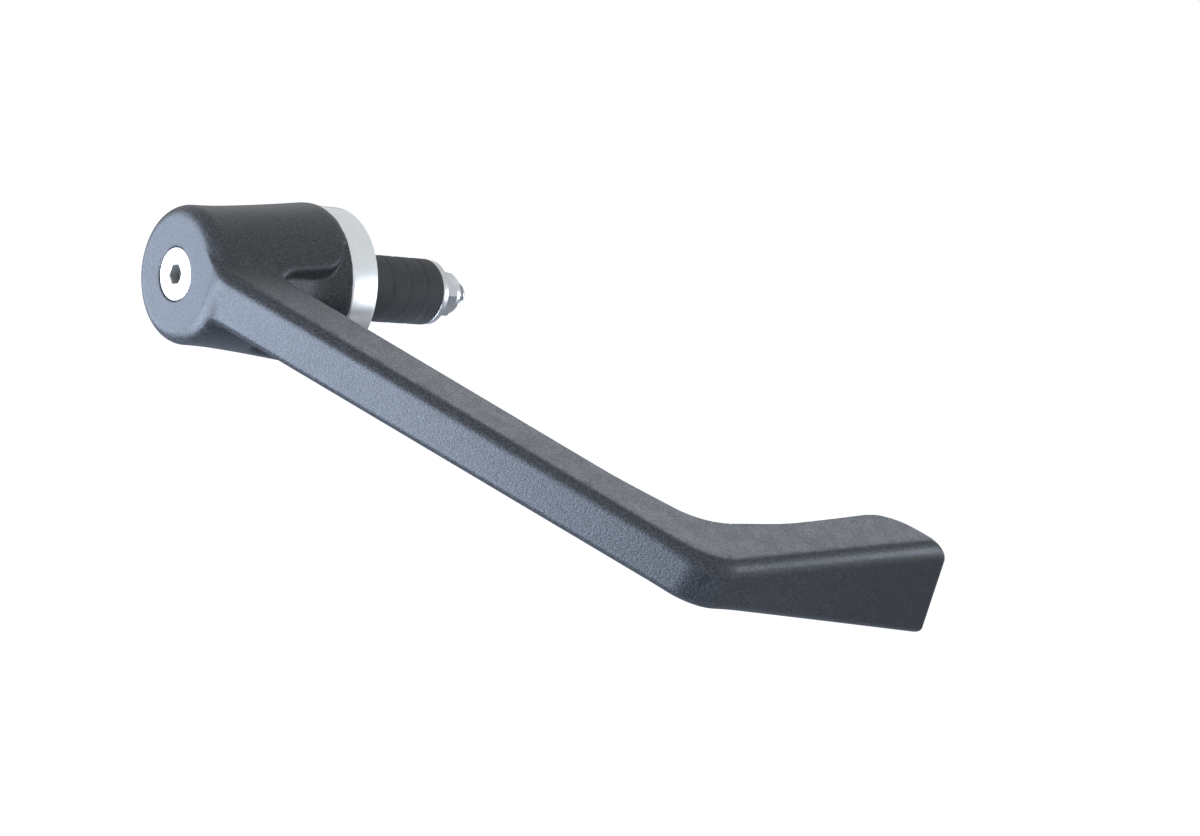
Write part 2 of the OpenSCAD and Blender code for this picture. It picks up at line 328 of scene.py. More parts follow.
@dataclass(frozen=True)
class ArmLine:
    """The arm seen from above: a slanting straight, a bend and the tip, with the section at each station."""

    end_x: float
    angle: float = 50.9
    start: float = 12.8
    thickness: float = 12.0
    height: float = 12.5
    rise: float = 4.4
    outer_edge: float = 2.8
    inner_edge: float = 0.8
    edge_growth: float = 1.5
    reach: float = 107.6
    bend_radius: float = 25.0
    web: float = 2.2
    outer_bend: float = 15.0
    length: float = 161.0
    toe: float = 1.5
    tip_thickness: float = 12.4
    tip_rise: float = 6.1
    tip_drop: float = 9.9
    rise_ease: float = 9.0
    bevel: float = 13.5
    rake: float = 12.3
    end_edge: float = 1.5

    @staticmethod
    def heading(degrees: float) -> Array:
        """Returns the unit direction at an angle from +X."""
        return np.array([math.cos(math.radians(degrees)), math.sin(math.radians(degrees))])

    @staticmethod
    def left_of(degrees: float) -> Array:
        """Returns the unit direction square to the heading, on its left."""
        return np.array([-math.sin(math.radians(degrees)), math.cos(math.radians(degrees))])

    @property
    def turn(self) -> float:
        """Angle of the bend in degrees."""
        return self.angle - self.toe

    @property
    def origin(self) -> Array:
        """Middle of the arm where its outer face leaves the end face."""
        return np.array([self.end_x, -self.start]) + self.thickness / 2 * self.left_of(-self.angle)

    @property
    def corner(self) -> Array:
        """Where the middle lines of the arm and the tip cross."""
        half = self.thickness / 2
        run = (self.reach - self.start) / math.tan(math.radians(self.angle))
        outer = np.array([self.end_x + run, -self.reach])
        back = half * math.tan(math.radians(self.turn / 2))
        return outer + half * self.left_of(-self.angle) - back * self.heading(-self.angle)

    @property
    def tangent(self) -> float:
        """Distance from the corner to either end of the bend."""
        return self.bend_radius * math.tan(math.radians(self.turn / 2))

    @property
    def bend_s(self) -> float:
        """Station at which the bend starts."""
        return float(np.linalg.norm(self.corner - self.origin)) - self.tangent

    @property
    def tip_s(self) -> float:
        """Station at which the bend ends."""
        return self.bend_s + self.bend_radius * math.radians(self.turn)

    @property
    def middle_s(self) -> float:
        """Station in the middle of the bend."""
        return (self.bend_s + self.tip_s) / 2

    @property
    def end_s(self) -> float:
        """Station at the tip's longest corner."""
        start = self.corner + self.tangent * self.heading(-self.toe)
        return self.tip_s + (self.end_x + self.length - start[0]) / math.cos(math.radians(self.toe))

    def locate(self, x: Array, y: Array) -> tuple[Array, Array]:
        """Finds the station of each point and its distance to the left of the middle line.

        Args:
            x: Places along the bar.
            y: Places across it.

        Returns:
            The stations and the distances.
        """
        first, last = self.heading(-self.angle), self.heading(-self.toe)
        left_first, left_last = self.left_of(-self.angle), self.left_of(-self.toe)
        centre = self.corner - self.tangent * first + self.bend_radius * left_first
        start = self.corner + self.tangent * last
        s1 = (x - self.origin[0]) * first[0] + (y - self.origin[1]) * first[1]
        n1 = (x - self.origin[0]) * left_first[0] + (y - self.origin[1]) * left_first[1]
        s3 = self.tip_s + (x - start[0]) * last[0] + (y - start[1]) * last[1]
        n3 = (x - start[0]) * left_last[0] + (y - start[1]) * left_last[1]
        dx, dy = x - centre[0], y - centre[1]
        s2 = self.bend_s + (np.arctan2(dx, -dy) + math.radians(self.angle)) * self.bend_radius
        n2 = self.bend_radius - np.hypot(dx, dy)
        on_first = s1 < self.bend_s
        on_last = (s3 > self.tip_s) & ~(on_first & (np.abs(n1) < np.abs(n3)))
        s = np.where(on_last, s3, np.where(on_first, s1, np.clip(s2, self.bend_s, self.tip_s)))
        n = np.where(on_last, n3, np.where(on_first, n1, n2))
        return s, n

    def inner_side(self, x: Array, y: Array) -> Array:
        """Returns the distance in front of the arm's inner side, along its straight part."""
        square = self.left_of(-self.angle)
        return (x - self.origin[0]) * square[0] + (y - self.origin[1]) * square[1] - self.thickness / 2

    def corner_reach(self, s: Array) -> Array:
        """Returns how far the outer face stands from the middle line: through the bend it turns a tighter arc."""
        half, half_turn = self.thickness / 2, math.radians(self.turn / 2)
        centre = (self.bend_radius + half - self.outer_bend) / math.cos(half_turn)
        arc_end = math.atan2(self.outer_bend * math.sin(half_turn), centre + self.outer_bend * math.cos(half_turn))
        a = np.minimum(np.abs(s - self.middle_s) / self.bend_radius, half_turn)
        flat = (self.bend_radius + half) / np.cos(half_turn - a)
        arc = centre * np.cos(a) + np.sqrt(np.maximum(self.outer_bend**2 - (centre * np.sin(a)) ** 2, 0.0))
        return np.where(a > arc_end, flat, arc) - self.bend_radius

    @staticmethod
    def cut_back(u: Array) -> Array:
        """Returns the share of the end's bevel across the tip: even at first, faster near the inner face."""
        return 0.8 * u + 0.42 * u**7

    def section(self, s: Array) -> tuple[Array, Array, Array, Array]:
        """Returns the outward reach, the full thickness, the top and the bottom at each station."""
        past, ease = s - self.middle_s, self.rise_ease
        past = np.where(past < ease, np.maximum(past + ease, 0.0) ** 2 / (4.0 * ease), past)
        part = np.clip(past / (self.end_s - self.middle_s), 0.0, 1.0)
        thick = self.thickness + (self.tip_thickness - self.thickness) * part
        out = self.corner_reach(s)
        inward = thick - self.thickness / 2 + self.web * hump(s - self.middle_s, 30.0)
        top = self.rise + self.height / 2 + self.tip_rise * part * (1.45 - 0.45 * part)
        bottom = self.rise - self.height / 2 - self.tip_drop * part
        return out, out + inward, top, bottom

    def distance(self, p: Array) -> Array:
        """Returns the signed distance of points from the arm and tip.

        A point's station is first carried back along the slant that the tip's end cut gives its sections,
        by Newton's rule, and its place in the rounded section there gives the distance.
        """
        s, n = self.locate(p[:, 0], p[:, 1])
        z = p[:, 2]
        run = self.end_s - self.tip_s
        station = s
        for _ in range(4):
            out, wide, top, bottom = self.section(station)
            share = np.clip((station - self.tip_s) / run, 0.0, 1.0)
            across, up = np.clip((n + out) / wide, 0.0, 1.0), np.clip((z - bottom) / (top - bottom), 0.0, 1.0)
            slant = self.bevel * self.cut_back(across) + self.rake * up
            miss = station - share**2 * slant - s
            station = station - miss / np.maximum(1.0 - 2.0 * share * (share < 1.0) * slant / run, 0.25)
        out, wide, top, bottom = self.section(station)
        q = n + out
        side, level = np.maximum(-q, q - wide), np.maximum(bottom - z, z - top)
        upper = z > (top + bottom) / 2
        outer = self.outer_edge + upper * self.edge_growth * smooth_step(
            (station - self.bend_s) / (self.middle_s - self.bend_s))
        edge = self.inner_edge + (outer - self.inner_edge) * (q < wide / 2)
        body = round_max(side, level, edge)
        end_out, end_wide, end_top, end_bottom = self.section(np.array([self.end_s]))
        tall = end_top - end_bottom
        across = np.clip((n + end_out) / end_wide, 0.0, 1.2)
        cut = s - self.end_s + self.bevel * self.cut_back(across) + self.rake * (z - end_bottom) / tall
        steep = self.bevel * (0.8 + 2.94 * across**6) / end_wide
        cut = cut / np.sqrt(1.0 + steep**2 + (self.rake / tall) ** 2)
        body = round_max(body, np.where(s > self.tip_s, cut, -20.0), self.end_edge)
        return np.maximum(body, -7.0 - s)


@dataclass(frozen=True)
class GuardMoulding:
    """The guard itself: boss, hood and arm in one moulding of black nylon."""

    boss_length: float = 34.7
    collar_width: float = 7.2
    end_radius: float = 15.0
    flare_radius: float = 18.0
    end_edge: float = 3.4
    cut_edge: float = 1.3
    core_radius: float = 15.0
    hood_reach: float = 11.7
    hood_corner: float = 5.0
    hood_edge: float = 0.6
    rim_width: float = 1.3
    rim_radius: float = 17.6
    scoop_length: float = 9.5
    hood_root: float = 5.2
    bore_radius: float = 3.3
    head_radius: float = 5.9
    head_depth: float = 0.6
    spigot_radius: float = 11.0
    spigot_depth: float = 24.1
    step: float = 0.46

    @property
    def end_x(self) -> float:
        """Place of the boss's end face."""
        return -self.collar_width - self.boss_length

    @property
    def arm(self) -> ArmLine:
        """The arm that leaves this boss."""
        return ArmLine(end_x=self.end_x)

    def boss_distance(self, p: Array) -> Array:
        """Returns the distance from the boss: a flared round, scooped out in front between its hood and the arm.

        The scoop's walls stand upright: the hood's front, rounded into the rim, and the arm's inner side. Its
        floor is a core that flares out to the rim as the square of the way along.
        """
        x, y = p[:, 0], p[:, 1]
        rho = np.hypot(y, p[:, 2])
        t = np.clip((x - self.end_x - self.end_edge) / (self.boss_length - 2.0 - self.end_edge), 0.0, 1.0)
        skin = rho - (self.end_radius + (self.flare_radius - self.end_radius) * t**1.3)
        inboard = x + self.collar_width
        body = round_max(skin, inboard, 1.0)
        rim_x = -self.collar_width - self.rim_width
        hood = round_max(-self.hood_reach - y, x - rim_x, self.hood_corner)
        side = self.arm.inner_side(x, y)
        kept = smooth_min(hood, side, np.full_like(x, self.hood_root))
        kept = np.minimum(kept, self.hood_corner - self.hood_reach - y)
        hooded = round_max(body, kept, self.hood_edge)
        way = np.clip((x + self.collar_width + self.scoop_length) / self.scoop_length, 0.0, 1.0)
        core = rho - (self.core_radius + (self.rim_radius - self.core_radius) * way**2)
        core = np.maximum(core, inboard)
        return smooth_min(hooded, core, np.full_like(x, 0.5))

    def holes_distance(self, p: Array) -> Array:
        """Returns the distance from the bore, the recess of the screw's head and the collar's socket."""
        x = p[:, 0]
        rho = np.hypot(p[:, 1], p[:, 2])
        cone = (rho + x - (self.end_x + self.head_depth + self.head_radius)) * math.sqrt(0.5)
        head = np.maximum(rho - self.head_radius, cone)
        socket = np.maximum(rho - self.spigot_radius, -self.collar_width - self.spigot_depth - x)
        return np.minimum(np.minimum(rho - self.bore_radius, head), socket)

    def distance(self, p: Array) -> Array:
        """Returns the signed distance of points from the whole moulding, blended where the arm leaves it."""
        x = p[:, 0]
        soft = smooth_step((p[:, 2] - 3.0) / 4.0) * smooth_step((x - self.end_x - 2.5) / 3.0)
        blend = 0.6 + 2.4 * soft * (1.0 - smooth_step(self.arm.inner_side(x, p[:, 1]) / 1.5))
        ahead = self.end_x - x
        boss = round_max(self.boss_distance(p), ahead, self.end_edge)
        arm = -smooth_min(-self.arm.distance(p), -ahead, np.full_like(x, self.cut_edge))
        body = np.maximum(smooth_min(boss, arm, blend), ahead)
        body = np.maximum(body, np.where(x > -self.collar_width, -1e3, x + self.collar_width))
        return round_max(body, -self.holes_distance(p), 0.25)

    def build(self) -> bpy.types.Object:
        """Makes the moulding's skin."""
        arm = self.arm
        low = (self.end_x - 1.3, -arm.reach - 5.2, -self.flare_radius - 1.3)
        high = (self.end_x + arm.length + 1.5, self.flare_radius + 1.5, self.flare_radius + 1.5)
        made = LevelSkin(low, high, self.step).build("guard_moulding_skin", self.distance)
        self.mark_dust_and_painted_light(made)
        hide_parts("guard_moulding")
        return made

    def mark_dust_and_painted_light(self, piece: bpy.types.Object) -> None:
        """Stores on each point a share of lighter colour, partly dust and wear and partly painted light from
        above: most on the flat tops, a little on the tip's front.
        """
        mesh = piece.data
        normals, places = np.empty((2, len(mesh.vertices) * 3), np.float32)
        mesh.vertex_normals.foreach_get("vector", normals)
        mesh.vertices.foreach_get("co", places)
        _, facing_y, facing_z = normals.reshape(-1, 3).T
        x, y, _ = places.reshape(-1, 3).T / MM
        forward = -y - self.arm.start
        # Painted light: faces turned up, and a little of the tip's front, get a lighter colour as if lit from
        # above, mixed with dust and wear.
        flat = smooth_step((facing_z - 0.90) / 0.08)
        front = smooth_step((-facing_y - 0.85) / 0.12) * smooth_step((x - 22.0) / 14.0)
        share = flat * (0.55 * smooth_step(forward / 11.0) + 0.45 * smooth_step((forward - 7.0) / 28.0))
        share = share + front * (0.11 - 0.10 * smooth_step((x - 50.0) / 60.0))
        mesh.attributes.new("dust_and_painted_light", "FLOAT", "POINT").data.foreach_set("value", share.astype(np.float32))


# --------------------------------------------------------------------------- collar, screw and expander


@dataclass(frozen=True)
class MountingCollar:
    """The turned collar: a spigot in the boss, a flange and a short spigot in the bar."""

    flange_radius: float = 17.6
    width: float = 7.2
    boss_spigot: float = 10.9
    boss_spigot_length: float = 24.0
    bar_spigot: float = 7.9
    bar_spigot_length: float = 6.0
    bore: float = 3.3

    def build(self) -> bpy.types.Object:
        """Makes the collar by carrying its rounded outline round the axis."""
        far = -self.width - self.boss_spigot_length
        x, r = rounded_profile([
            (far, self.bore, 0.2), (far, self.boss_spigot, 0.5), (-self.width, self.boss_spigot, 0.1),
            (-self.width, self.flange_radius, 0.55), (0.0, self.flange_radius, 0.55), (0.0, self.bar_spigot, 0.1),
            (self.bar_spigot_length, self.bar_spigot, 0.5), (self.bar_spigot_length, self.bore, 0.2)])
        made = SpunSkin(240).build("mounting_collar_turned", x, r, looped=True, crease=0.5)
        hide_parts("mounting_collar")
        return made


@dataclass(frozen=True)
class CountersunkScrew:
    """The long countersunk screw, with its hexagon socket and the thread at its far end."""

    head_x: float = -41.8
    end_x: float = 38.4
    head_radius: float = 5.76
    head_land: float = 0.5
    shank: float = 2.95
    pitch: float = 1.0
    thread_depth: float = 0.55
    thread_length: float = 26.0
    socket_flats: float = 4.0
    socket_depth: float = 2.6
    socket_turn: float = 10.0
    columns: int = 96

    def hexagon(self, flats: float) -> Array:
        """Returns a hexagon's radius in each column: half its flats over the cosine from the nearest flat."""
        a = SpunSkin(self.columns).angles() + math.radians(self.socket_turn)
        off = (a + math.pi / 6) % (math.pi / 3) - math.pi / 6
        return flats / 2 / np.cos(off)

    def head_rows(self) -> tuple[list[Array], list[Array]]:
        """Returns the rows from the socket's floor out over the face and down the cone to the shank."""
        ones = np.ones(self.columns)
        face, floor = self.head_x, self.head_x + self.socket_depth
        hexagon = self.hexagon(self.socket_flats)
        chamfer = hexagon + 0.16
        rim, land = self.head_radius, face + self.head_land
        neck = land + rim - self.shank
        rows = [
            (floor + 0.7, 0.02), (floor, hexagon * 0.86), (floor - 0.02, hexagon), (face + 0.22, hexagon),
            (face + 0.03, chamfer - 0.02), (face, chamfer + 0.03), (face, 3.6), (face, 4.8), (face, rim - 0.35),
            (face + 0.03, rim - 0.15), (face + 0.16, rim), (land, rim), (land + 0.1, rim - 0.1),
            (neck - 0.1, self.shank + 0.1), (neck + 0.3, self.shank)]
        return [x * ones for x, _ in rows], [r * ones for _, r in rows]

    def thread_rows(self) -> tuple[Array, Array]:
        """Returns the rows of the thread: a rounded tooth that moves on by one pitch in each turn."""
        start = self.end_x - self.thread_length
        x = np.linspace(start, self.end_x - 0.05, int(self.thread_length / self.pitch * 14))[:, None]
        a = SpunSkin(self.columns).angles()[None, :]
        phase = (x / self.pitch - a / (2 * np.pi)) % 1.0
        groove = np.clip(1.25 - np.abs(phase - 0.5) * 3.2, 0.0, 1.0)
        runout = smooth_step((x - start) / 2.0)
        r = self.shank - self.thread_depth * groove * runout
        r = np.minimum(r, self.shank - 0.8 + (self.end_x - x) * 1.0)
        return np.broadcast_to(x, r.shape), r

    def build(self) -> bpy.types.Object:
        """Makes the screw in one skin from the socket's floor to the end of the thread."""
        hx, hr = self.head_rows()
        tx, tr = self.thread_rows()
        end = np.ones((1, self.columns))
        x = np.vstack([hx, tx, end * self.end_x])
        r = np.vstack([hr, tr, end * (self.shank - 1.0)])
        made = SpunSkin(self.columns).build("countersunk_screw_threaded", x, r, looped=False, crease=0.55)
        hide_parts("countersunk_screw")
        return made


@dataclass(frozen=True)
class Expander:
    """What grips inside the bar: two washers, the rubber, the nut and its lock ring."""

    washer_x: float = 6.0
    washer_thick: float = 1.5
    washer_radius: float = 7.5
    bore: float = 3.3
    rubber_radius: float = 7.7
    rubber_length: float = 20.0
    end_round: float = 0.6
    nut_flats: float = 10.0
    nut_height: float = 6.0
    ring_height: float = 1.4
    ring_radius: float = 4.3
    thread_bore: float = 3.0

    def washer(self, name: str, node: str, x: float) -> bpy.types.Object:
        """Makes a stamped washer, rounded on one face and sharper on the other."""
        far = x + self.washer_thick
        px, pr = rounded_profile([(x, self.bore, 0.15), (x, self.washer_radius, 0.35),
                                  (far, self.washer_radius, 0.12), (far, self.bore, 0.1)])
        made = SpunSkin(144).build(name, px, pr, looped=True, crease=0.5)
        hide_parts(node)
        return made

    def rubber(self) -> bpy.types.Object:
        """Makes the rubber, with moulded end radii and three shallow grooves round it."""
        x0 = self.washer_x + self.washer_thick
        x1 = x0 + self.rubber_length
        outer = np.linspace(x0, x1, 81)
        drop = 0.3 * sum(np.exp(-(((outer - x0 - g) / 0.45) ** 2)) for g in (5.0, 10.0, 15.0))
        inset = np.clip(self.end_round - np.minimum(outer - x0, x1 - outer), 0.0, self.end_round)
        ends = self.end_round - np.sqrt(self.end_round**2 - inset**2)
        x = np.concatenate([[x0], outer, [x1]])
        r = np.concatenate([[self.bore], self.rubber_radius - drop - ends, [self.bore]])
        made = SpunSkin(144).build("rubber_expander_moulded", x, r, looped=True, crease=0.7)
        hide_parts("rubber_expander")
        return made

    def nut(self) -> bpy.types.Object:
        """Makes the hexagon nut: each radius is the lesser of the hexagon and the chamfer's cone."""
        skin = SpunSkin(144)
        x0 = self.washer_x + 2 * self.washer_thick + self.rubber_length
        x1, x2 = x0 + self.nut_height - self.ring_height, x0 + self.nut_height
        a = skin.angles()
        off = a % (math.pi / 3)
        hexagon = self.nut_flats / 2 / np.cos(np.minimum(off, math.pi / 3 - off))
        sides = np.linspace(x0 + 0.02, x1 - 0.02, 17)[:, None]
        cone = self.nut_flats / 2 + 0.12 + 1.7 * np.minimum(sides - x0, x1 - sides)
        wall = np.minimum(hexagon[None, :], cone)
        one = np.ones((1, skin.columns))
        lip = self.nut_flats / 2 - 0.2
        rows = [(x0, self.thread_bore + 0.02), (x0, lip - 0.05), (sides, wall), (x1, lip),
                (x2 - 0.25, lip), (x2 - 0.04, lip - 0.15), (x2, lip - 0.3), (x2, self.ring_radius + 0.05),
                (x2 - 0.1, self.ring_radius), (x1, self.ring_radius), (x1, self.thread_bore + 0.02)]
        x = np.vstack([np.reshape(s, (-1, 1)) * one for s, _ in rows])
        r = np.vstack([rr * one if np.ndim(rr) == 0 else rr for _, rr in rows])
        made = skin.build("lock_nut_hexagon", x, r, looped=True, crease=0.4)
        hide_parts("lock_nut")
        return made

    def lock_ring(self) -> bpy.types.Object:
        """Makes the nylon ring that bites the thread, slightly crowned."""
        x1 = self.washer_x + 2 * self.washer_thick + self.rubber_length + self.nut_height
        x0 = x1 - self.ring_height
        bore, rim, top = self.thread_bore + 0.02, self.ring_radius - 0.06, x1 - 0.02
        px, pr = rounded_profile([(x0, bore, 0.05), (x0, rim, 0.05), (top, rim, 0.3), (top, bore, 0.3)])
        made = SpunSkin(96).build("nut_lock_ring_crowned", px, pr, looped=True)
        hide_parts("nut_lock_ring")
        return made

    def build(self) -> list[tuple[bpy.types.Object, "Finish"]]:
        """Makes the expander's pieces, each with the finish it wears."""
        rear = self.washer_x + self.washer_thick + self.rubber_length
        return [
            (self.washer("front_washer_stamped", "front_washer", self.washer_x), Finish.WASHER),
            (self.rubber(), Finish.RUBBER),
            (self.washer("rear_washer_stamped", "rear_washer", rear), Finish.WASHER),
            (self.nut(), Finish.NUT),
            (self.lock_ring(), Finish.LOCK_RING)]


# --------------------------------------------------------------------------- shader graphs

Value = Union["Wire", float, Sequence[float]]


class Wire:
    """A shader socket that takes part in Python arithmetic. Each operator adds one Math node."""

    def __init__(self, graph: "Graph", socket: bpy.types.NodeSocket) -> None:
        """Keeps the socket and the graph it belongs to."""
        self.graph = graph
        self.socket = socket

    def _math(self, operation: str, first: Value, second: Value = 0.0) -> "Wire":
        """Adds a Math node on one or two values."""
        return self.graph.node("ShaderNodeMath", {"operation": operation}, {0: first, 1: second})

    def __add__(self, other: Value) -> "Wire":
        """Adds."""
        return self._math("ADD", self, other)

    def __radd__(self, other: Value) -> "Wire":
        """Adds, reflected."""
        return self._math("ADD", other, self)

    def __sub__(self, other: Value) -> "Wire":
        """Subtracts."""
        return self._math("SUBTRACT", self, other)

    def __rsub__(self, other: Value) -> "Wire":
        """Subtracts, reflected."""
        return self._math("SUBTRACT", other, self)

    def __mul__(self, other: Value) -> "Wire":
        """Multiplies."""
        return self._math("MULTIPLY", self, other)

    def __rmul__(self, other: Value) -> "Wire":
        """Multiplies, reflected."""
        return self._math("MULTIPLY", other, self)

    def __truediv__(self, other: Value) -> "Wire":
        """Divides."""
        return self._math("DIVIDE", self, other)

    def __rtruediv__(self, other: Value) -> "Wire":
        """Divides, reflected."""
        return self._math("DIVIDE", other, self)

    def __pow__(self, other: Value) -> "Wire":
        """Raises to a power."""
        return self._math("POWER", self, other)

    def root(self) -> "Wire":
        """Returns the square root."""
        return self._math("SQRT", self)

    def between(self, low: float, high: float) -> "Wire":
        """Returns a smooth rise from 0 at low to 1 at high."""
        settings = {"interpolation_type": "SMOOTHSTEP", "clamp": True}
        inputs = {"Value": self, "From Min": low, "From Max": high, "To Min": 0.0, "To Max": 1.0}
        return self.graph.node("ShaderNodeMapRange", settings, inputs)


class Graph:
    """A material's or the world's node tree, built from values and wires."""

    def __init__(self, owner: Union[bpy.types.Material, bpy.types.World]) -> None:
        """Empties the owner's node tree and keeps it."""
        owner.use_nodes = True
        self.tree = owner.node_tree
        self.tree.nodes.clear()

    def node(self, kind: str, settings: Optional[Mapping[str, Any]] = None,
             inputs: Optional[Mapping[Union[int, str], Value]] = None, output: Union[int, str] = 0) -> Wire:
        """Adds a node, sets it and feeds it.

        Args:
            kind: The node's type.
            settings: Its settings, set before the inputs.
            inputs: Values or wires for its sockets, by number or name.
            output: The socket that is returned.

        Returns:
            The wire from the chosen output.
        """
        made = self.tree.nodes.new(kind)
        for key, value in (settings or {}).items():
            setattr(made, key, value)
        for key, value in (inputs or {}).items():
            if isinstance(value, Wire):
                self.tree.links.new(value.socket, made.inputs[key])
            elif made.inputs[key].type == "RGBA" and len(value) == 3:
                made.inputs[key].default_value = (*value, 1.0)
            else:
                made.inputs[key].default_value = value
        return Wire(self, made.outputs[output])

    def place(self) -> Wire:
        """Returns the Object coordinates."""
        return self.node("ShaderNodeTexCoord", output="Object")

    def rays(self) -> tuple[Wire, Wire, Wire]:
        """Returns whether a ray comes from the camera, from a mirroring surface or through a clear one."""
        first = self.node("ShaderNodeLightPath", output="Is Camera Ray")
        outs = first.socket.node.outputs
        return first, Wire(self, outs["Is Glossy Ray"]), Wire(self, outs["Is Transmission Ray"])

    def axes(self, place: Wire) -> tuple[Wire, Wire, Wire]:
        """Returns the three parts of a vector."""
        first = self.node("ShaderNodeSeparateXYZ", None, {0: place}, "X")
        outs = first.socket.node.outputs
        return first, Wire(self, outs["Y"]), Wire(self, outs["Z"])

    def noise(self, place: Wire, scale: float, detail: float = 3.0, roughness: float = 0.55) -> Wire:
        """Returns a noise of the given number of waves per metre."""
        inputs = {"Vector": place, "Scale": scale, "Detail": detail, "Roughness": roughness}
        return self.node("ShaderNodeTexNoise", {"noise_dimensions": "3D"}, inputs, "Fac")

    def mix(self, share: Value, low: Value, high: Value) -> Wire:
        """Mixes two colours."""
        inputs = {0: share, 6: low, 7: high}
        return self.node("ShaderNodeMix", {"data_type": "RGBA", "clamp_factor": True}, inputs, 2)

    def bump(self, height: Wire, depth: float, strength: float = 1.0) -> Wire:
        """Turns a height into a normal, with depth in metres."""
        inputs = {"Height": height, "Distance": depth, "Strength": strength}
        return self.node("ShaderNodeBump", None, inputs, "Normal")

    def surface(self, inputs: Mapping[Union[int, str], Value]) -> None:
        """Ends the graph in a Principled surface."""
        shader = self.node("ShaderNodeBsdfPrincipled", None, inputs)
        self.node_output("ShaderNodeOutputMaterial", shader)

    def node_output(self, kind: str, shader: Wire) -> None:
        """Links a shader to a new output node."""
        made = self.tree.nodes.new(kind)
        self.tree.links.new(shader.socket, made.inputs["Surface"])


@dataclass(frozen=True)
class Scuff:
    """A short pale scratch: its middle, its direction, and its half length and half width."""

    middle: tuple[float, float, float]
    along: tuple[float, float, float]
    half_length: float
    half_width: float = 0.22

    def mask(self, graph: Graph, place: Wire, ragged: Wire) -> Wire:
        """Returns 1 on the scratch and 0 off it, its edge broken up by a noise."""
        along = Vector(self.along).normalized()
        offset = graph.node("ShaderNodeVectorMath", {"operation": "SUBTRACT"},
                            {0: place, 1: tuple(c * MM for c in self.middle)})
        run = graph.node("ShaderNodeVectorMath", {"operation": "DOT_PRODUCT"},
                         {0: offset, 1: tuple(along)}, "Value")
        far = graph.node("ShaderNodeVectorMath", {"operation": "LENGTH"}, {0: offset}, "Value")
        across = (far * far - run * run + 1e-12).root()
        a, b = self.half_length * MM, self.half_width * MM
        size = ((run / a) ** 2.0 + (across / b) ** 2.0).root() + (ragged - 0.5) * 1.2
        return 1.0 - size.between(0.35, 1.15)


@dataclass(frozen=True)
class MouldedNylon:
    """Black glass-filled nylon with an eroded mould texture, light wear, and tops lightened partly by dust and
    partly by painted light from above.
    """

    dark: Colour = (0.006, 0.007, 0.009)
    light: Colour = (0.030, 0.032, 0.038)
    # Colour of the lighter tops: partly dust and wear, partly painted light from above.
    dust_and_painted_light: Colour = (0.17, 0.175, 0.185)
    scuffed: Colour = (0.22, 0.23, 0.25)
    roughness: float = 0.40
    gloss: float = 0.5
    scuffs: tuple[Scuff, ...] = ()

    def apply(self, graph: Graph) -> None:
        """Builds the finish: a fine grain in colour and bump, soft mottling, a lighter top that is partly dust and
        wear and partly painted light from above, and placed scuffs.
        """
        place = graph.place()
        grain = graph.noise(place, 2600.0, 2.0, 0.5)
        pebble = graph.noise(place, 1900.0, 2.0, 0.5)
        mottle = graph.noise(place, 260.0, 4.0, 0.6)
        broad = graph.noise(place, 38.0, 2.0, 0.5)
        specks = graph.noise(place, 900.0, 2.0, 0.6).between(0.74, 0.80)
        colour = graph.mix(grain.between(0.38, 0.66), self.dark, self.light)
        # Painted light from above, mixed with dust and wear: the stored share lightens the tops towards the colour
        # below.
        top = graph.node("ShaderNodeAttribute", {"attribute_name": "dust_and_painted_light"}, output="Fac")
        top = top * (0.45 + 0.55 * grain.between(0.30, 0.70)) * (0.8 + 0.4 * mottle.between(0.3, 0.7))
        colour = graph.mix(top, colour, self.dust_and_painted_light)
        worn: Value = specks * broad.between(0.5, 0.62) * 0.5
        for scuff in self.scuffs:
            worn = worn + scuff.mask(graph, place, pebble) * 0.85
        colour = graph.mix(worn, colour, self.scuffed)
        rough = self.roughness + (mottle - 0.5) * 0.10 + (broad - 0.5) * 0.08 + worn * 0.2
        height = grain * 0.55 + pebble * 0.45
        normal = graph.bump(height, 0.00011, 0.8)
        graph.surface({"Base Color": colour, "Roughness": rough, "Normal": normal,
                       "IOR": 1.5, "Specular IOR Level": self.gloss})


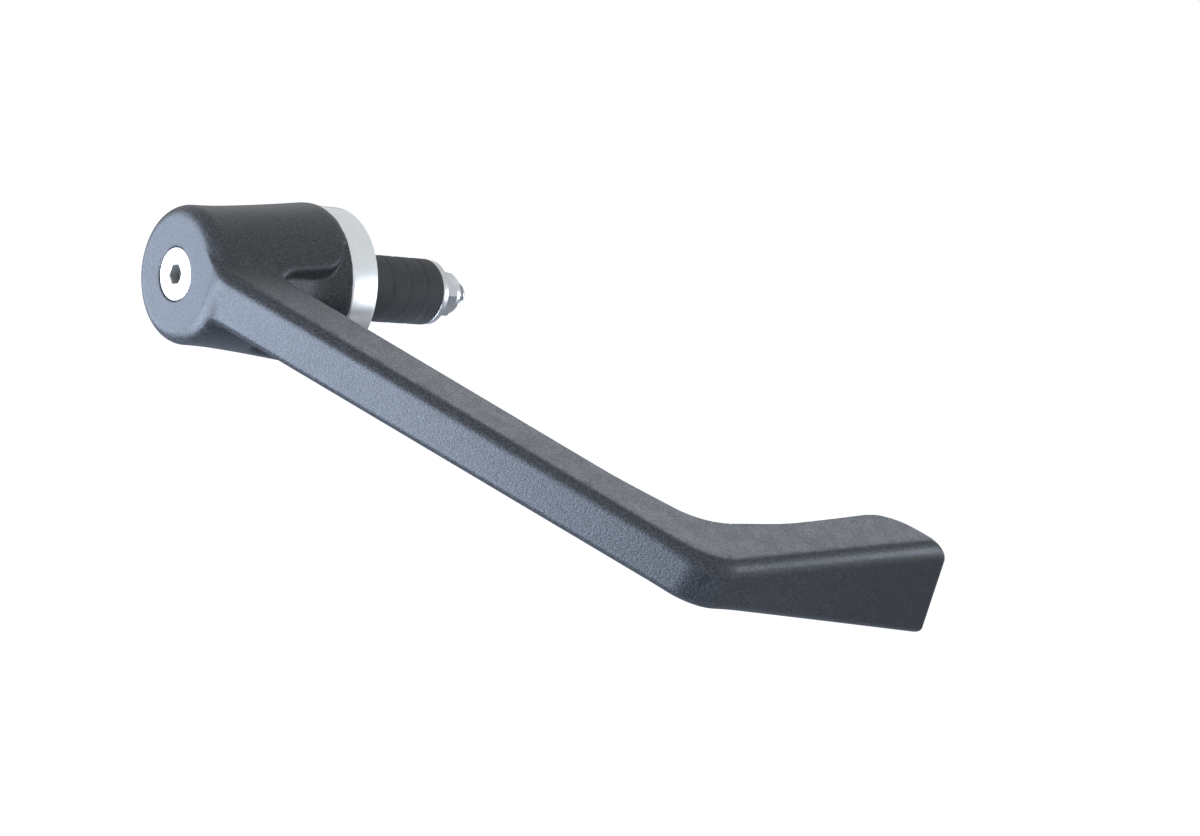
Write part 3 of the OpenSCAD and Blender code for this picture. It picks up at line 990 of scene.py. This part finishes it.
@dataclass(frozen=True)
class TurnedMetal:
    """Metal turned round the bar's axis: fine rings in the bump and faint streaks in the gloss."""

    colour: Colour
    dull: Colour
    roughness: float
    ring_depth: float = 0.000004
    rings_per_mm: float = 9.0
    socket_radius: float = 0.0
    socket_span: tuple[float, float] = (0.0, 0.0)
    # Colour painted inside the socket as the shade in that recess.
    painted_socket_shade: Colour = (0.21, 0.20, 0.19)

    def apply(self, graph: Graph) -> None:
        """Builds the finish from a noise stretched round the axis and a soft cloud, with painted shade inside the
        socket where one is given.
        """
        place = graph.place()
        x, y, z = graph.axes(place)
        radius = (y * y + z * z).root()
        rings = graph.node("ShaderNodeCombineXYZ", None, {0: x, 1: radius, 2: 0.0})
        turned = graph.noise(rings, self.rings_per_mm * 1000.0, 2.0, 0.6)
        wide = graph.noise(rings, 900.0, 2.0, 0.5)
        cloud = graph.noise(place, 140.0, 3.0, 0.6)
        colour = graph.mix(cloud.between(0.3, 0.7) * 0.6 + wide.between(0.3, 0.7) * 0.4, self.dull, self.colour)
        rough = self.roughness + (turned - 0.5) * 0.10 + (cloud - 0.5) * 0.08
        normal = graph.bump(turned * 0.8 + wide * 0.2, self.ring_depth, 0.8)
        metal: Value = 1.0
        # Painted shade: the inside of the hexagon socket is darkened, made rougher and less metallic, standing in
        # for the shade in the recess.
        if self.socket_radius > 0.0:
            near, far = self.socket_span
            reach = self.socket_radius * MM
            inside = 1.0 - radius.between(reach * 0.97, reach)
            inside = inside * x.between((near - 0.05) * MM, (near + 0.15) * MM)
            inside = inside * (1.0 - x.between(far * MM, (far + 0.3) * MM))
            colour = graph.mix(inside, colour, self.painted_socket_shade)
            rough = rough + inside * 0.35
            metal = 1.0 - inside * 0.7
        graph.surface({"Base Color": colour, "Roughness": rough, "Normal": normal, "Metallic": metal})


@dataclass(frozen=True)
class PlainSkin:
    """A moulded or plated skin with a soft cloud in its colour and a fine pitted bump."""

    colour: Colour
    shade: Colour
    roughness: float
    metallic: float = 0.0
    waves: float = 1400.0
    depth: float = 0.00002

    def apply(self, graph: Graph) -> None:
        """Builds the finish from two noises."""
        place = graph.place()
        fine = graph.noise(place, self.waves, 3.0, 0.6)
        cloud = graph.noise(place, 180.0, 3.0, 0.6)
        colour = graph.mix(cloud.between(0.3, 0.7), self.shade, self.colour)
        rough = self.roughness + (cloud - 0.5) * 0.14 + (fine - 0.5) * 0.06
        normal = graph.bump(fine, self.depth, 0.7)
        graph.surface({"Base Color": colour, "Roughness": rough, "Normal": normal, "Metallic": self.metallic})


class Finish(Enum):
    """The finishes that the pieces wear."""

    NYLON = "moulded_nylon"
    COLLAR = "turned_aluminium"
    SCREW = "bright_stainless"
    WASHER = "stamped_steel"
    RUBBER = "matt_rubber"
    NUT = "plated_steel"
    LOCK_RING = "dyed_nylon"


class Wardrobe:
    """Makes each finish once and puts it on pieces."""

    def __init__(self) -> None:
        """Lists the recipe of each finish."""
        self.recipes: dict[Finish, Union[MouldedNylon, TurnedMetal, PlainSkin]] = {
            Finish.NYLON: MouldedNylon(scuffs=SCUFFS),
            Finish.COLLAR: TurnedMetal((0.74, 0.75, 0.77), (0.69, 0.70, 0.72), 0.30),
            Finish.SCREW: TurnedMetal((0.66, 0.66, 0.65), (0.58, 0.58, 0.58), 0.28, 0.000002, 12.0,
                                      socket_radius=2.42, socket_span=(-41.7, -38.8)),
            Finish.WASHER: PlainSkin((0.66, 0.66, 0.67), (0.54, 0.54, 0.56), 0.36, 1.0, 2200.0, 0.000008),
            Finish.RUBBER: PlainSkin((0.034, 0.034, 0.035), (0.022, 0.022, 0.023), 0.72, 0.0, 1200.0, 0.00003),
            Finish.NUT: PlainSkin((0.68, 0.68, 0.70), (0.55, 0.56, 0.60), 0.30, 1.0, 1800.0, 0.000008),
            Finish.LOCK_RING: PlainSkin((0.10, 0.22, 0.55), (0.07, 0.17, 0.46), 0.42, 0.0, 900.0, 0.00001)}
        self.made: dict[Finish, bpy.types.Material] = {}

    def material(self, finish: Finish) -> bpy.types.Material:
        """Returns the material of a finish, made at its first use."""
        if finish not in self.made:
            made = bpy.data.materials.new(finish.value)
            self.recipes[finish].apply(Graph(made))
            self.made[finish] = made
        return self.made[finish]

    def dress(self, piece: bpy.types.Object, finish: Finish) -> None:
        """Puts a finish on a piece in place of whatever it had."""
        piece.data.materials.clear()
        piece.data.materials.append(self.material(finish))


SCUFFS = (
    Scuff((-9.0, -53.0, 5.2), (0.63, -0.78, 0.25), 1.6),
    Scuff((-4.5, -58.5, 4.6), (0.63, -0.78, -0.10), 1.3),
    Scuff((21.5, -90.0, 8.0), (0.30, -0.50, 0.80), 0.9),
    Scuff((35.0, -96.0, 10.0), (0.75, -0.60, 0.05), 2.4, 0.16))


# --------------------------------------------------------------------------- studio

BLUISH: Colour = (0.85, 1.0, 1.24)
WHITE: Colour = (1.0, 1.0, 1.0)


@dataclass(frozen=True)
class Softbox:
    """A large lamp: where it stands, what it faces, its size and its strength."""

    name: str
    place: tuple[float, float, float]
    aim: tuple[float, float, float]
    size: tuple[float, float]
    watts: float
    colour: Colour = WHITE
    mirrored: bool = True

    def build(self) -> None:
        """Hangs the lamp. One that isn't mirrored lights the matt share of a surface and leaves no highlight."""
        data = bpy.data.lights.new(self.name, "AREA")
        data.shape, data.size, data.size_y = "RECTANGLE", self.size[0], self.size[1]
        data.energy, data.color = self.watts, self.colour
        lamp = bpy.data.objects.new(self.name, data)
        lamp.location = self.place
        lamp.visible_glossy = self.mirrored
        lamp.rotation_euler = (Vector(self.aim) - Vector(self.place)).to_track_quat("-Z", "Y").to_euler()
        bpy.context.scene.collection.objects.link(lamp)


@dataclass
class Studio:
    """The camera at the photograph's angle, a pale floor and soft light."""

    eye: tuple[float, float, float] = (-0.34798, -0.36725, 0.25986)
    right: tuple[float, float, float] = (0.7187, -0.5233, 0.4579)
    up: tuple[float, float, float] = (-0.0200, 0.6427, 0.7659)
    lens: float = 74.94
    floor_z: float = -1.2
    floor_half: float = 5.0
    floor_points: int = 11
    lamps: tuple[Softbox, ...] = field(default_factory=lambda: (
        Softbox("left_back_wall", (-0.47, 0.42, -0.29), (-0.03, 0.0, 0.0), (0.74, 0.66), 7.3, BLUISH),
        Softbox("left_front_wall", (-0.48, -0.165, -0.27), (-0.01, -0.05, 0.0), (0.53, 0.62), 10.4, BLUISH),
        Softbox("right_window", (0.59, -0.51, 0.29), (0.0, -0.03, 0.0), (0.26, 0.24), 1.6, (0.86, 0.98, 1.16)),
        Softbox("overhead", (-0.30, -0.05, 0.84), (0.0, -0.08, 0.0), (0.7, 0.7), 6.5, (0.93, 1.0, 1.11), False)))

    def camera(self) -> None:
        """Makes the camera from its place and its right and up directions."""
        data = bpy.data.cameras.new("camera")
        data.lens, data.sensor_width, data.clip_start, data.clip_end = self.lens, 36.0, 0.01, 20.0
        made = bpy.data.objects.new("camera", data)
        right = Vector(self.right).normalized()
        back = right.cross(Vector(self.up)).normalized()
        turn = Matrix((right, back.cross(right), back)).transposed()
        made.matrix_world = Matrix.Translation(Vector(self.eye)) @ turn.to_4x4()
        bpy.context.scene.collection.objects.link(made)
        bpy.context.scene.camera = made

    def floor(self) -> None:
        """Lays a pale floor that the camera sees as white, apart from the object's shadow."""
        n = self.floor_points
        u = np.linspace(-self.floor_half, self.floor_half, n) / MM
        gx, gy = np.meshgrid(u, u, indexing="ij")
        points = np.stack([gx, gy, np.full_like(gx, self.floor_z / MM)], -1).reshape(-1, 3)
        i, j = np.meshgrid(np.arange(n - 1), np.arange(n - 1), indexing="ij")
        a = (i * n + j).ravel()
        made = MeshWriter.write("studio_floor", points, [np.stack([a, a + n, a + n + 1, a + 1], -1)])
        material = bpy.data.materials.new("pale_floor")
        graph = Graph(material)
        seen, mirrored, through = graph.rays()
        cloud = graph.noise(graph.place(), 3.0, 2.0, 0.5)
        paint = graph.mix(cloud, (0.60, 0.63, 0.70), (0.64, 0.67, 0.74))
        diffuse = graph.node("ShaderNodeBsdfDiffuse", None, {"Color": paint})
        strength = seen * 0.82 + (mirrored + through) * 0.09
        glow = graph.node("ShaderNodeEmission", None, {"Color": WHITE, "Strength": strength})
        both = graph.node("ShaderNodeAddShader", None, {0: diffuse, 1: glow})
        graph.node_output("ShaderNodeOutputMaterial", both)
        made.data.materials.append(material)

    def world(self) -> None:
        """Surrounds the object with an even pale room, white to the camera and in reflections."""
        world = bpy.data.worlds.new("pale_room")
        bpy.context.scene.world = world
        graph = Graph(world)
        seen, mirrored, through = graph.rays()
        strength = 0.30 + seen * 0.70 + (mirrored + through) * 0.58
        sky = graph.mix(seen, (0.955, 0.99, 1.0), WHITE)
        graph.node_output("ShaderNodeOutputWorld",
                          graph.node("ShaderNodeBackground", None, {"Color": sky, "Strength": strength}))

    def build(self) -> None:
        """Sets up the whole studio."""
        self.camera()
        self.floor()
        self.world()
        for lamp in self.lamps:
            lamp.build()
        bpy.context.scene.view_settings.view_transform = "Standard"


# --------------------------------------------------------------------------- the whole object


def report(piece: bpy.types.Object) -> None:
    """Logs a piece's name, its faces and its box in millimetres."""
    co = np.empty(len(piece.data.vertices) * 3, np.float32)
    piece.data.vertices.foreach_get("co", co)
    co = co.reshape(-1, 3) / MM
    LOG.info("%s: %d faces, from %s to %s mm", piece.name, len(piece.data.polygons),
             np.round(co.min(0), 2).tolist(), np.round(co.max(0), 2).tolist())


def main() -> None:
    """Builds the guard, its fixings and the studio, in that order."""
    logging.basicConfig(level=logging.INFO, format="%(name)s %(message)s")
    wardrobe = Wardrobe()
    pieces = [
        (GuardMoulding().build(), Finish.NYLON),
        (MountingCollar().build(), Finish.COLLAR),
        (CountersunkScrew().build(), Finish.SCREW),
        *Expander().build()]
    for piece, finish in pieces:
        wardrobe.dress(piece, finish)
        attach(piece, "root")
        report(piece)
    Studio().build()


if __name__ == "__main__":
    main()
